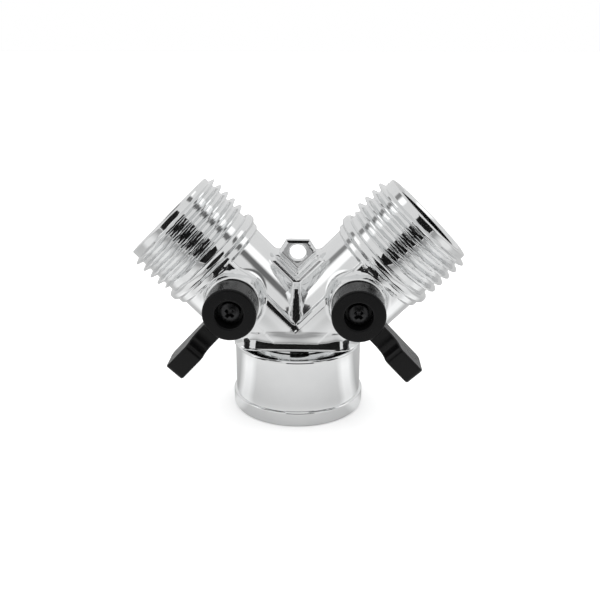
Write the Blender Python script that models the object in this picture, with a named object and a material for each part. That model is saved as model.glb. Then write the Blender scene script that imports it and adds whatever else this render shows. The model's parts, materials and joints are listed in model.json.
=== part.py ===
"""Two-way garden hose splitter: a cast Y body, a swivel inlet nut and two quarter-turn ball valves.

The nut's axis is vertical and stands at AXIS_Y, so that the origin is the middle of the base of the whole
object. The front, with the two levers, faces -Y. Driving dimensions are in millimetres.
"""

import math

import bmesh
import bpy
from mathutils import Matrix

MM = 0.001
GAP = 0.3
# How far a helper reaches beyond the surface that it cuts or joins.
OVERLAP = 1.0

# Garden hose thread, 3/4-11.5.
THREAD_PITCH = 25.4 / 11.5
MALE_CREST = 13.5
MALE_ROOT = 12.1
FEMALE_CREST = 12.45
FEMALE_ROOT = 13.65
CREST_SHARE = 0.2

# The two arms of the cast body.
ARM_ANGLE = 44.3
ARM_CROSSING_Z = 15.47
ARM_RADIUS = 12.1
ARM_LENGTH = 43.35
STEM_ALONG_ARM = 19.9
THREAD_START = 1.15
THREAD_TURNS = 4.75
THREAD_FADE = 0.6
# The two arms' rings start at different angles, so that their facets never meet edge to edge.
FACET_TURN = {-1: 2.0, 1: 5.0}
COLLAR_TOP = 13.0
COLLAR_BOTTOM = 15.1
COLLAR_RADIUS = 13.5
STEP_BOTTOM = 16.7
STEP_RADIUS = 12.7
EDGE_SLOPE = 0.3

# The foot of the body, where the arms stand on the nut.
FOOT_Z = 17.6
FOOT_HALF_WIDTH = 14.8
FOOT_HALF_DEPTH = 12.9
FOOT_CORNER = 6.0
# Height, and how far the outline is drawn in there: a thin rim, then a skirt that rises to the arms.
FOOT_LAYERS = ((17.6, 0.15), (17.75, 0.0), (18.2, 0.0), (18.35, 0.2), (19.9, 0.85), (22.4, 0.85))
ARM_TRIM_Z = 19.4
FRONT_PAD_SPAN = (-0.6, 5.65)
FRONT_PAD_FOOT_Z = 18.1
FRONT_PAD_FACE = 12.08
FRONT_PAD_BACK = 2.0

# The spigot that the nut turns on.
SPIGOT_RADIUS = 10.9
SPIGOT_END_Z = 9.2
INLET_BORE = 8.0
INLET_BORE_TOP = 17.8
RING_GROOVE_RADIUS = 9.8
RING_GROOVE_Z = (12.9, 14.5)
SPIGOT_CHAMFER = 0.4
RETAINING_RING_RADII = (10.1, 12.5)
RETAINING_RING_PLAY = 0.25
RETAINING_RING_GAP = 3.0

# The swivel nut.
NUT_RADIUS = 15.27
NUT_LIP_RADIUS = 15.89
NUT_LIP_HEIGHT = 3.5
NUT_WALL_TOP = 15.5
NUT_LEDGE_RADIUS = 14.8
NUT_SHOULDER_RADIUS = 13.95
NUT_TOP = FOOT_Z - GAP
NUT_NECK_BORE = 11.25
NUT_CAVITY_RADIUS = 12.95
NUT_CAVITY_Z = (9.4, 14.8)
NUT_THREAD_Z = (0.9, 8.7)
NUT_EDGE = 0.3
NUT_SHOULDER_DROP = 0.25
WASHER_RADII = (8.1, 12.1)
WASHER_Z = (6.0, 8.9)

# One valve, in its own frame: the origin is on the stem's axis, +Z runs to the outlet and -Y to the front.
BALL_RADIUS = 6.8
BALL_BORE = 3.9
PORT_BORE = 4.2
CHAMBER_RADIUS = 7.6
CHAMBER_BACK = 7.4
CHAMBER_FRONT = 11.0
OUTLET_BORE = 9.4
OUTLET_CHAMFER = 0.8
BOSS_ROOT = 2.0
STEM_BORE_ROOT = 3.0
BOSS_BASE_RADIUS = 6.95
BOSS_FACE_RADIUS = 6.3
BOSS_FACE = 14.98
STEM_RADIUS = 2.9
STEM_BORE = 3.2
STEM_COLLAR = 3.6
STEM_COLLAR_SPAN = (7.6, 8.8)
STEM_DRIVE = 3.9
STEM_DRIVE_SPAN = (14.85, 17.4)
STEM_GROOVES = (10.3, 12.6)
TANG_SIZE = (5.0, 2.0, 2.0)
TANG_ROOT = 0.5
O_RING_RADIUS = 2.62
O_RING_SECTION = 0.42
GROOVE_DEPTH_PLAY = 0.13
GROOVE_SIDE_PLAY = 0.23
SCREW_HOLE_RADIUS = 1.5
SCREW_HOLE_FLOOR = 13.2
SEAT_PROFILE = ((4.2, 5.6), (4.2, 7.1), (7.3, 7.1), (7.3, 2.6))
RETAINER_RADII = (4.9, 7.3)
RETAINER_SPAN = (7.4, 10.6)
KEY_SLOT_WIDTH = 1.6
KEY_SLOT_FLOOR = 9.6

# The lever.
CAP_RADIUS = 5.9
CAP_BACK = BOSS_FACE + GAP
CAP_FACE = 21.83
CAP_RECESS = 2.9
RECESS_DRAFT = 0.2
CAP_FLOOR = 18.8
PADDLE_FRONT = 23.34
PADDLE_TIP = 18.26
PADDLE_WIDTH = 4.5
NECK_FRONT = 20.2
NECK_ROOT = 3.6
NECK_END = 7.6
PADDLE_FULL = 11.8
TIP_ROUND = 1.3
TIP_CHAMFER = 0.5
CAP_EDGE = 0.4
LEVER_PAST_SQUARE = 2.65

# The lever's screw: its shank, then its pan head with a cross slot.
SHANK_RADIUS = 1.2
SHANK_END = 13.6
HEAD_PROFILE = ((2.25, 0.0), (2.25, 0.9), (1.9, 1.4), (1.2, 1.7))
CROSS_SLOT = (2.6, 0.64, 0.5)

# The hanging tab and the ribs in the fork.
TAB_HALF_THICKNESS = 1.0
TAB_TOP_HALF = 2.68
TAB_TOP_Z = 40.95
TAB_MID_HALF = 4.55
TAB_MID_Z = 37.97
TAB_STRAIGHT = 1.0
TAB_ROOT = 1.5
TAB_HOLE_Z = 37.86
TAB_HOLE_RADIUS = 1.95
RIB_ROOT = 2.5
RIB_STEPS = ((3.0, 12.8, 38.0), (5.4, 11.95, 37.35))

AXIS_Y = (PADDLE_FRONT - NUT_LIP_RADIUS) / 2

CHROME = ("chrome", (0.72, 0.73, 0.73), 0.08, 1.0)
BLACK = ("black_plastic", (0.018, 0.018, 0.018), 0.35, 0.0)
SCREW = ("black_steel", (0.02, 0.02, 0.02), 0.4, 0.6)
BRASS = ("brass", (0.72, 0.53, 0.25), 0.25, 1.0)
STEEL = ("spring_steel", (0.6, 0.6, 0.6), 0.3, 1.0)
RUBBER = ("rubber", (0.02, 0.02, 0.02), 0.8, 0.0)
PTFE = ("ptfe", (0.85, 0.85, 0.83), 0.5, 0.0)


def clear_scene():
    for obj in list(bpy.data.objects):
        bpy.data.objects.remove(obj, do_unlink=True)


def material(spec):
    name, colour, roughness, metallic = spec
    if name in bpy.data.materials:
        return bpy.data.materials[name]
    made = bpy.data.materials.new(name)
    made.use_nodes = True
    shader = made.node_tree.nodes["Principled BSDF"]
    shader.inputs["Base Color"].default_value = (*colour, 1.0)
    shader.inputs["Roughness"].default_value = roughness
    shader.inputs["Metallic"].default_value = metallic
    made.diffuse_color = (*colour, 1.0)
    return made


def add_object(name, bm, spec, parent, matrix=None):
    """Turns a bmesh that is in millimetres into an object under a parent."""
    bmesh.ops.recalc_face_normals(bm, faces=bm.faces)
    bmesh.ops.scale(bm, vec=(MM, MM, MM), verts=bm.verts)
    mesh = bpy.data.meshes.new(name)
    bm.to_mesh(mesh)
    bm.free()
    mesh.shade_smooth()
    mesh.set_sharp_from_angle(angle=math.radians(35))
    mesh.materials.append(material(spec))
    obj = bpy.data.objects.new(name, mesh)
    bpy.context.scene.collection.objects.link(obj)
    obj.parent = parent
    if matrix is not None:
        obj.matrix_local = matrix
    return obj


def add_helper(name, bm, parent, matrix=None):
    obj = add_object(name, bm, CHROME, parent, matrix)
    obj.hide_render = True
    obj.display_type = "WIRE"
    return obj


def add_boolean(obj, helper, operation):
    modifier = obj.modifiers.new(f"{operation.lower()}_{helper.name}", "BOOLEAN")
    modifier.operation = operation
    modifier.solver = "EXACT"
    modifier.object = helper


def add_empty(name, parent, matrix):
    empty = bpy.data.objects.new(name, None)
    empty.empty_display_size = 5 * MM
    bpy.context.scene.collection.objects.link(empty)
    empty.parent = parent
    empty.matrix_local = matrix
    return empty


def place(x=0.0, y=0.0, z=0.0):
    return Matrix.Translation((x * MM, y * MM, z * MM))


def turn(axis, degrees):
    return Matrix.Rotation(math.radians(degrees), 4, axis)


TO_FRONT = turn("X", 90)


def ring_of(bm, segments, radius_at, height):
    ring = []
    for k in range(segments):
        angle = 2 * math.pi * k / segments
        radius = radius_at(angle)
        ring.append(bm.verts.new((radius * math.cos(angle), radius * math.sin(angle), height)))
    return ring


def bridge(bm, lower, upper):
    count = len(lower)
    for k in range(count):
        following = (k + 1) % count
        bm.faces.new((lower[k], lower[following], upper[following], upper[k]))


def turned(profile, segments, closed=False):
    """A body turned about Z from (radius, height) points, or a ring where the profile is a closed loop.

    A radius may be a function of the angle about the axis, which makes a thread.
    """
    bm = bmesh.new()
    rings = []
    for radius, height in profile:
        radius_at = radius if callable(radius) else (lambda angle, fixed=radius: fixed)
        rings.append(ring_of(bm, segments, radius_at, height))
    for lower, upper in zip(rings, rings[1:]):
        bridge(bm, lower, upper)
    if closed:
        bridge(bm, rings[-1], rings[0])
    else:
        bm.faces.new(rings[0])
        bm.faces.new(rings[-1])
    return bm


def thread_rows(start, turns, rows_per_turn, root, crest, run_out):
    """Rows of a right-hand thread, from a start height upwards. It fades over run_out at both ends."""
    length = turns * THREAD_PITCH
    count = round(turns * rows_per_turn)
    rows = []
    for k in range(count + 1):
        height = start + length * k / count

        def radius_at(angle, along=height - start):
            phase = (along / THREAD_PITCH - angle / (2 * math.pi)) % 1.0
            from_crest = abs(phase - 0.5)
            flank = (0.5 - from_crest - CREST_SHARE / 2) / (0.5 - CREST_SHARE)
            lift = min(1.0, max(0.0, flank))
            fade = max(0.0, min(1.0, along / run_out, (length - along) / run_out))
            return root + (crest - root) * lift * fade

        rows.append((radius_at, height))
    return rows


def cylinder(radius, low, high, segments, top_radius=None):
    return turned([(radius, low), (radius if top_radius is None else top_radius, high)], segments)


def prism(outline, low, high):
    """An outline in X and Z, extruded along Y."""
    bm = bmesh.new()
    near = [bm.verts.new((x, low, z)) for x, z in outline]
    far = [bm.verts.new((x, high, z)) for x, z in outline]
    bm.faces.new(near)
    bm.faces.new(far)
    bridge(bm, near, far)
    return bm


def rounded_outline(inset):
    """The foot's outline, drawn in by a distance."""
    steps = 5
    corner = FOOT_CORNER - inset
    outline = []
    for quarter, (side_x, side_y) in enumerate(((1, 1), (-1, 1), (-1, -1), (1, -1))):
        for k in range(steps + 1):
            angle = math.radians(90 * (quarter + k / steps))
            x = side_x * (FOOT_HALF_WIDTH - FOOT_CORNER) + corner * math.cos(angle)
            y = side_y * (FOOT_HALF_DEPTH - FOOT_CORNER) + corner * math.sin(angle)
            outline.append((x, y))
    return outline


def foot_mesh():
    bm = bmesh.new()
    rings = []
    for height, inset in FOOT_LAYERS:
        rings.append([bm.verts.new((x, y, height)) for x, y in rounded_outline(inset)])
    bm.faces.new(rings[0])
    bm.faces.new(rings[-1])
    for lower, upper in zip(rings, rings[1:]):
        bridge(bm, lower, upper)
    return bm


def block(low, high):
    bm = bmesh.new()
    bmesh.ops.create_cube(bm, size=1.0)
    size = [b - a for a, b in zip(low, high)]
    middle = [(a + b) / 2 for a, b in zip(low, high)]
    bmesh.ops.scale(bm, vec=size, verts=bm.verts)
    bmesh.ops.translate(bm, vec=middle, verts=bm.verts)
    return bm


def arm_frame(side):
    """The frame of one arm: its origin where the arms' axes cross, with +Z running to the outlet."""
    return place(z=ARM_CROSSING_Z) @ turn("Y", side * ARM_ANGLE)


def outlet_profile():
    """The outside of an arm from inside the foot to the outlet's end face."""
    end = ARM_LENGTH
    thread_low = end - THREAD_START - THREAD_TURNS * THREAD_PITCH
    rows = thread_rows(thread_low, THREAD_TURNS, 5, MALE_ROOT, MALE_CREST, THREAD_FADE)
    profile = [
        (ARM_RADIUS, -OVERLAP),
        (ARM_RADIUS, end - STEP_BOTTOM),
        (STEP_RADIUS, end - STEP_BOTTOM + EDGE_SLOPE),
        (STEP_RADIUS, end - COLLAR_BOTTOM),
        (COLLAR_RADIUS, end - COLLAR_BOTTOM + EDGE_SLOPE),
        (COLLAR_RADIUS, end - COLLAR_TOP - EDGE_SLOPE),
        (MALE_ROOT, end - COLLAR_TOP),
    ]
    profile += rows
    profile.append((MALE_ROOT, end))
    return profile


def add_body_helpers(side, root):
    name = "left" if side < 0 else "right"
    frame = arm_frame(side) @ turn("Z", FACET_TURN[side])
    valve = frame @ place(z=STEM_ALONG_ARM)
    stem = arm_frame(side) @ place(z=STEM_ALONG_ARM) @ TO_FRONT
    outlet = ARM_LENGTH - STEM_ALONG_ARM

    boss = cylinder(BOSS_BASE_RADIUS, BOSS_ROOT, BOSS_FACE, 40, BOSS_FACE_RADIUS)
    port = cylinder(PORT_BORE, -OVERLAP, STEM_ALONG_ARM, 20)
    chamber_profile = [
        (CHAMBER_RADIUS, -CHAMBER_BACK),
        (CHAMBER_RADIUS, CHAMBER_FRONT),
        (OUTLET_BORE, CHAMBER_FRONT),
        (OUTLET_BORE, outlet - OUTLET_CHAMFER),
        (OUTLET_BORE + OUTLET_CHAMFER, outlet),
        (OUTLET_BORE + OUTLET_CHAMFER, outlet + OVERLAP),
    ]
    stem_profile = [
        (STEM_COLLAR + GAP, STEM_BORE_ROOT),
        (STEM_COLLAR + GAP, STEM_COLLAR_SPAN[1] + GAP),
        (STEM_BORE, STEM_COLLAR_SPAN[1] + GAP),
        (STEM_BORE, BOSS_FACE + OVERLAP),
    ]
    return {
        "unions": [add_helper(f"{name}_boss", boss, root, stem)],
        "cuts": [
            add_helper(f"{name}_port", port, root, frame),
            add_helper(f"{name}_chamber", turned(chamber_profile, 32), root, valve),
            add_helper(f"{name}_stem_bore", turned(stem_profile, 20), root, stem),
        ],
    }


def on_arm(side, across, z):
    """X of the line that runs along an arm at a distance above its axis, at height z."""
    slope = math.radians(ARM_ANGLE)
    return -side * (across - (z - ARM_CROSSING_Z) * math.sin(slope)) / math.cos(slope)


def crotch_z(across):
    return ARM_CROSSING_Z + across / math.sin(math.radians(ARM_ANGLE))


def arm_point(side, along, across):
    """X and Z of a point a distance along an arm's axis and a distance above it."""
    slope = math.radians(ARM_ANGLE)
    x = side * (along * math.sin(slope) - across * math.cos(slope))
    return x, ARM_CROSSING_Z + along * math.cos(slope) + across * math.sin(slope)


def front_pad_outline():
    """The flat front between the bosses: a V whose lower edges lie just under the arms' front lines."""
    end = ARM_LENGTH - STEP_BOTTOM
    low, high = FRONT_PAD_SPAN
    foot = on_arm(1, low, FRONT_PAD_FOOT_Z)
    right = [arm_point(1, end, high), arm_point(1, end, low), (foot, FRONT_PAD_FOOT_Z)]
    left = [(-x, z) for x, z in reversed(right)]
    return [(0.0, crotch_z(high)), *right, *left]


def add_fork_helpers(root):
    helpers = []
    for k, (half_depth, across, top) in enumerate(RIB_STEPS):
        inner = on_arm(1, across, top)
        outer = on_arm(1, ARM_RADIUS - RIB_ROOT, top)
        low = crotch_z(ARM_RADIUS - RIB_ROOT)
        right = [(outer, top), (inner, top)]
        left = [(-x, z) for x, z in reversed(right)]
        outline = [(0, low), *right, (0, crotch_z(across)), *left]
        helpers.append(add_helper(f"fork_rib_{k}", prism(outline, -half_depth, half_depth), root))
    low = TAB_MID_Z - TAB_STRAIGHT
    right = [(TAB_MID_HALF, low), (TAB_MID_HALF, TAB_MID_Z), (TAB_TOP_HALF, TAB_TOP_Z)]
    left = [(-x, z) for x, z in reversed(right)]
    outline = [(0, crotch_z(ARM_RADIUS) - TAB_ROOT), *right, *left]
    helpers.append(add_helper("tab", prism(outline, -TAB_HALF_THICKNESS, TAB_HALF_THICKNESS), root))
    return helpers


def add_valve_body(root):
    """One casting: both arms with their threads, the foot, the spigot, the stem bosses and the tab."""
    left, right = (arm_frame(side) @ turn("Z", FACET_TURN[side]) for side in (-1, 1))
    body = add_object("valve_body", turned(outlet_profile(), 36), CHROME, root, left)
    other_arm = add_helper("right_arm", turned(outlet_profile(), 36), root, right)
    add_boolean(body, other_arm, "UNION")
    below = block((-ARM_LENGTH, -ARM_LENGTH, -ARM_LENGTH), (ARM_LENGTH, ARM_LENGTH, ARM_TRIM_Z))
    add_boolean(body, add_helper("below_arms", below, root), "DIFFERENCE")

    add_boolean(body, add_helper("foot", foot_mesh(), root), "UNION")
    spigot = turned(
        [
            (SPIGOT_RADIUS - SPIGOT_CHAMFER, SPIGOT_END_Z),
            (SPIGOT_RADIUS, SPIGOT_END_Z + SPIGOT_CHAMFER),
            (SPIGOT_RADIUS, RING_GROOVE_Z[0]),
            (RING_GROOVE_RADIUS, RING_GROOVE_Z[0]),
            (RING_GROOVE_RADIUS, RING_GROOVE_Z[1]),
            (SPIGOT_RADIUS, RING_GROOVE_Z[1]),
            (SPIGOT_RADIUS, FOOT_Z + OVERLAP),
        ],
        32,
    )
    add_boolean(body, add_helper("spigot", spigot, root), "UNION")

    pad = prism(front_pad_outline(), -FRONT_PAD_FACE, -FRONT_PAD_BACK)
    add_boolean(body, add_helper("front_pad", pad, root), "UNION")
    sides = [add_body_helpers(side, root) for side in (-1, 1)]
    for helpers in sides:
        for helper in helpers["unions"]:
            add_boolean(body, helper, "UNION")
    for helper in add_fork_helpers(root):
        add_boolean(body, helper, "UNION")

    inlet = cylinder(INLET_BORE, SPIGOT_END_Z - OVERLAP, INLET_BORE_TOP, 32)
    add_boolean(body, add_helper("inlet_bore", inlet, root), "DIFFERENCE")
    for helpers in sides:
        for helper in helpers["cuts"]:
            add_boolean(body, helper, "DIFFERENCE")
    hole = cylinder(TAB_HOLE_RADIUS, -TAB_HALF_THICKNESS - OVERLAP, TAB_HALF_THICKNESS + OVERLAP, 24)
    hole_helper = add_helper("tab_hole", hole, root, place(z=TAB_HOLE_Z) @ TO_FRONT)
    add_boolean(body, hole_helper, "DIFFERENCE")


def add_swivel_nut(root):
    thread_low, thread_high = NUT_THREAD_Z
    turns = (thread_high - thread_low) / THREAD_PITCH
    rows = thread_rows(thread_low, turns, 5, FEMALE_ROOT, FEMALE_CREST, 0.5)
    profile = [
        (FEMALE_ROOT + 0.5, 0.0),
        *rows,
        (NUT_CAVITY_RADIUS, NUT_CAVITY_Z[0]),
        (NUT_CAVITY_RADIUS, NUT_CAVITY_Z[1]),
        (NUT_NECK_BORE, NUT_CAVITY_Z[1]),
        (NUT_NECK_BORE, NUT_TOP),
        (NUT_SHOULDER_RADIUS, NUT_TOP),
        (NUT_SHOULDER_RADIUS + NUT_SHOULDER_DROP, NUT_TOP - NUT_SHOULDER_DROP),
        (NUT_LEDGE_RADIUS, NUT_WALL_TOP + NUT_EDGE / 2),
        (NUT_RADIUS - NUT_EDGE, NUT_WALL_TOP),
        (NUT_RADIUS, NUT_WALL_TOP - NUT_EDGE),
        (NUT_RADIUS, NUT_LIP_HEIGHT),
        (NUT_LIP_RADIUS, NUT_LIP_HEIGHT - NUT_EDGE),
        (NUT_LIP_RADIUS, NUT_EDGE),
        (NUT_LIP_RADIUS - NUT_EDGE, 0.0),
    ]
    add_object("swivel_nut", turned(profile, 36, closed=True), CHROME, root)


def ring_profile(radii, heights):
    inner, outer = radii
    low, high = heights
    return [(inner, low), (inner, high), (outer, high), (outer, low)]


def add_inlet_washer(root):
    profile = ring_profile(WASHER_RADII, WASHER_Z)
    add_object("inlet_washer", turned(profile, 28, closed=True), RUBBER, root)


def add_retaining_ring(root):
    low, high = RING_GROOVE_Z[0] + RETAINING_RING_PLAY, RING_GROOVE_Z[1] - RETAINING_RING_PLAY
    profile = ring_profile(RETAINING_RING_RADII, (low, high))
    ring = add_object("retaining_ring", turned(profile, 32, closed=True), STEEL, root)
    half = RETAINING_RING_GAP / 2
    reach = RETAINING_RING_RADII[1] + OVERLAP
    gap = block((-half, 0.0, low - OVERLAP), (half, reach, high + OVERLAP))
    add_boolean(ring, add_helper("retaining_ring_gap", gap, root), "DIFFERENCE")


def add_ball(name, frame, bore_turn):
    """The ball is turned about its own bore, which lies along the lever. The slot faces the stem."""
    steps = 8
    edge = math.acos(BALL_BORE / BALL_RADIUS)
    profile = []
    for k in range(steps + 1):
        angle = edge - 2 * edge * k / steps
        profile.append((BALL_RADIUS * math.cos(angle), BALL_RADIUS * math.sin(angle)))
    ball = add_object(name, turned(profile, 24, closed=True), BRASS, frame, bore_turn @ turn("Y", 90))
    length, width, depth = TANG_SIZE
    low = STEM_COLLAR_SPAN[0] - depth - GAP
    half_length, half_width = length / 2 + GAP, width / 2 + GAP
    slot = block((-half_length, -half_width, low), (half_length, half_width, BALL_RADIUS + OVERLAP))
    add_boolean(ball, add_helper(f"{name}_slot", slot, frame, bore_turn @ TO_FRONT), "DIFFERENCE")


def add_stem(name, frame, lever_turn):
    groove_floor = O_RING_RADIUS - O_RING_SECTION - GROOVE_DEPTH_PLAY
    half_groove = O_RING_SECTION + GROOVE_SIDE_PLAY
    profile = [(STEM_COLLAR, STEM_COLLAR_SPAN[0]), (STEM_COLLAR, STEM_COLLAR_SPAN[1])]
    profile.append((STEM_RADIUS, STEM_COLLAR_SPAN[1]))
    for middle in STEM_GROOVES:
        profile.append((STEM_RADIUS, middle - half_groove))
        profile.append((groove_floor, middle - half_groove))
        profile.append((groove_floor, middle + half_groove))
        profile.append((STEM_RADIUS, middle + half_groove))
    profile.append((STEM_RADIUS, STEM_DRIVE_SPAN[0]))
    matrix = lever_turn @ TO_FRONT
    stem = add_object(name, turned(profile, 16), BRASS, frame, matrix)

    length, width, depth = TANG_SIZE
    low, high = STEM_COLLAR_SPAN[0] - depth, STEM_COLLAR_SPAN[0] + TANG_ROOT
    tang = block((-length / 2, -width / 2, low), (length / 2, width / 2, high))
    add_boolean(stem, add_helper(f"{name}_tang", tang, frame, matrix), "UNION")
    half = STEM_DRIVE / 2
    drive = block((-half, -half, STEM_DRIVE_SPAN[0] - OVERLAP), (half, half, STEM_DRIVE_SPAN[1]))
    add_boolean(stem, add_helper(f"{name}_drive", drive, frame, matrix), "UNION")
    hole = cylinder(SCREW_HOLE_RADIUS, SCREW_HOLE_FLOOR, STEM_DRIVE_SPAN[1] + OVERLAP, 12)
    add_boolean(stem, add_helper(f"{name}_screw_hole", hole, frame, matrix), "DIFFERENCE")


def add_o_ring(name, frame, matrix):
    profile = []
    sides = 6
    for k in range(sides):
        angle = 2 * math.pi * (k + 0.5) / sides
        radius = O_RING_RADIUS + O_RING_SECTION * math.cos(angle)
        profile.append((radius, O_RING_SECTION * math.sin(angle)))
    add_object(name, turned(profile, 14, closed=True), RUBBER, frame, matrix)


def add_seat(name, frame, direction):
    """A ring whose conical face follows the ball. direction is -1 at the inlet and 1 at the outlet."""
    matrix = Matrix.Identity(4) if direction > 0 else turn("X", 180)
    add_object(name, turned(SEAT_PROFILE, 24, closed=True), PTFE, frame, matrix)


def add_seat_retainer(name, frame):
    """The ring screwed in behind the outlet seat, with two slots for its key."""
    profile = ring_profile(RETAINER_RADII, RETAINER_SPAN)
    ring = add_object(name, turned(profile, 24, closed=True), BRASS, frame)
    reach = RETAINER_RADII[1] + OVERLAP
    half = KEY_SLOT_WIDTH / 2
    slot = block((-reach, -half, KEY_SLOT_FLOOR), (reach, half, RETAINER_SPAN[1] + OVERLAP))
    add_boolean(ring, add_helper(f"{name}_key_slot", slot, frame), "DIFFERENCE")


def paddle_outline():
    """The lever's finger piece from the side: X is the distance from the stem, Z that to the front."""
    tip = [(PADDLE_TIP - TIP_CHAMFER, CAP_BACK), (PADDLE_TIP, CAP_BACK + TIP_CHAMFER)]
    outline = [(NECK_ROOT, CAP_BACK), *tip]
    steps = 4
    for k in range(steps + 1):
        angle = math.radians(90 * k / steps)
        x = PADDLE_TIP - TIP_ROUND + TIP_ROUND * math.cos(angle)
        z = PADDLE_FRONT - TIP_ROUND + TIP_ROUND * math.sin(angle)
        outline.append((x, z))
    rise = PADDLE_FRONT - NECK_FRONT
    run = PADDLE_FULL - NECK_END
    for k in range(steps + 1):
        angle = math.radians(90 * k / steps)
        x = PADDLE_FULL - run * math.sin(angle)
        z = PADDLE_FRONT - rise * (1 - math.cos(angle))
        outline.append((x, z))
    outline.append((NECK_ROOT, NECK_FRONT))
    return outline


def add_lever(name, frame, matrix):
    """The round cap on the stem and the finger paddle, moulded in one. +X runs to the paddle's tip."""
    cap = [
        (CAP_RADIUS - CAP_EDGE / 2, CAP_BACK),
        (CAP_RADIUS, CAP_BACK + CAP_EDGE / 2),
        (CAP_RADIUS, CAP_FACE - CAP_EDGE),
        (CAP_RADIUS - CAP_EDGE, CAP_FACE),
    ]
    lever = add_object(name, turned(cap, 36), BLACK, frame, matrix)
    half = PADDLE_WIDTH / 2
    paddle = add_helper(f"{name}_paddle", prism(paddle_outline(), -half, half), frame, matrix)
    add_boolean(lever, paddle, "UNION")
    recess_profile = [
        (SCREW_HOLE_RADIUS, CAP_BACK),
        (SCREW_HOLE_RADIUS, CAP_FLOOR),
        (CAP_RECESS, CAP_FLOOR),
        (CAP_RECESS + RECESS_DRAFT, CAP_FACE + OVERLAP),
    ]
    recess = turned(recess_profile, 28)
    add_boolean(lever, add_helper(f"{name}_recess", recess, frame, matrix), "DIFFERENCE")
    fit = STEM_DRIVE / 2 + GAP
    socket = block((-fit, -fit, CAP_BACK - OVERLAP), (fit, fit, STEM_DRIVE_SPAN[1] + GAP))
    add_boolean(lever, add_helper(f"{name}_socket", socket, frame, matrix), "DIFFERENCE")


def add_lever_screw(name, frame, matrix):
    head_low = CAP_FLOOR + GAP
    profile = [(SHANK_RADIUS, SHANK_END), (SHANK_RADIUS, head_low)]
    profile += [(radius, head_low + height) for radius, height in HEAD_PROFILE]
    screw = add_object(name, turned(profile, 20), SCREW, frame, matrix)
    length, width, floor = CROSS_SLOT
    for k in range(2):
        low = (-length / 2, -width / 2, head_low + floor)
        high = (length / 2, width / 2, head_low + HEAD_PROFILE[-1][1] + OVERLAP)
        helper = add_helper(f"{name}_slot_{k}", block(low, high), frame, matrix @ turn("Z", 45 + 90 * k))
        add_boolean(screw, helper, "DIFFERENCE")


def add_valve(side, root):
    """Everything that works in one arm. The lever is closed: square to the arm and a little past it."""
    name = "left" if side < 0 else "right"
    frame = add_empty(f"{name}_valve_axis", root, arm_frame(side) @ place(z=STEM_ALONG_ARM))
    lever_turn = turn("Y", side * LEVER_PAST_SQUARE)
    if side < 0:
        lever_turn = lever_turn @ turn("Y", 180)
    lever_frame = lever_turn @ TO_FRONT
    add_lever(f"{name}_lever", frame, lever_frame)
    add_lever_screw(f"{name}_lever_screw", frame, lever_frame)
    add_stem(f"{name}_stem", frame, lever_turn)
    for label, height in zip(("inner", "outer"), STEM_GROOVES):
        add_o_ring(f"{name}_stem_o_ring_{label}", frame, lever_frame @ place(z=height))
    add_ball(f"{name}_ball", frame, lever_turn)
    add_seat(f"{name}_inlet_seat", frame, -1)
    add_seat(f"{name}_outlet_seat", frame, 1)
    add_seat_retainer(f"{name}_seat_retainer", frame)


def main():
    clear_scene()
    root = add_empty("splitter_axis", None, place(y=AXIS_Y))
    add_valve_body(root)
    add_swivel_nut(root)
    add_inlet_washer(root)
    add_retaining_ring(root)
    for side in (-1, 1):
        add_valve(side, root)


main()
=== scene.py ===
"""Looks of the hose splitter: a chrome casting with a swivel nut, two black levers and the valves inside.

Pieces are worked out in millimetres about the nut's axis, with the front at -Y, and are then moved onto
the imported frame. Rounded castings and mouldings are level surfaces of distance functions, so that every
fillet is a true blend. Threads and turned pieces are revolved profiles.
"""

import json
import math

import bpy
import numpy as np
from mathutils import Matrix, Vector


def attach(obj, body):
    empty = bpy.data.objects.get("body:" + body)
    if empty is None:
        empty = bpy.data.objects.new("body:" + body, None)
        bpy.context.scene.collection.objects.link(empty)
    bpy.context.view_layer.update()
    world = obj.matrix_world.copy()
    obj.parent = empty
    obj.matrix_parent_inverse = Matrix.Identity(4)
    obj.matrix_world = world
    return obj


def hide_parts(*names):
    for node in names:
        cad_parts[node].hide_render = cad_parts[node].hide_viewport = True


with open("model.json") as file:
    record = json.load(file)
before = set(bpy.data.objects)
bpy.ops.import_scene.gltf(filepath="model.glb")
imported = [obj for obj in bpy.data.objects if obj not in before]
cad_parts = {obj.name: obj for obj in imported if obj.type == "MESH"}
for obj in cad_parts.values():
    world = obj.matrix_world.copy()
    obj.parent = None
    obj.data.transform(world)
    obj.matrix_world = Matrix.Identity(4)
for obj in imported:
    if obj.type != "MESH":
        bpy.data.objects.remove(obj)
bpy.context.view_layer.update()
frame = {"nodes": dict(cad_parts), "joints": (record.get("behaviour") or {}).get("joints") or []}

MM = 0.001
JOINTS = {joint["name"]: joint for joint in frame["joints"]}
AXIS_Y = JOINTS["nut_swivel"]["pos_m"][1]
SIDES = {"left": -1, "right": 1}

# Sizes of the object are in millimetres. Unless a comment says otherwise, a pair is a span from low to high.

# The garden hose thread, 3/4-11.5. The root's flat and the flank are shares of the pitch.
THREAD_PITCH = 25.4 / 11.5
MALE_CREST = 13.5
MALE_ROOT = 12.1
FEMALE_CREST = 12.45
FEMALE_ROOT = 13.65
HALF_ROOT_FLAT = 0.15
FLANK_SHARE = 0.27
FLANK_STRAIGHTNESS = 0.7

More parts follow.
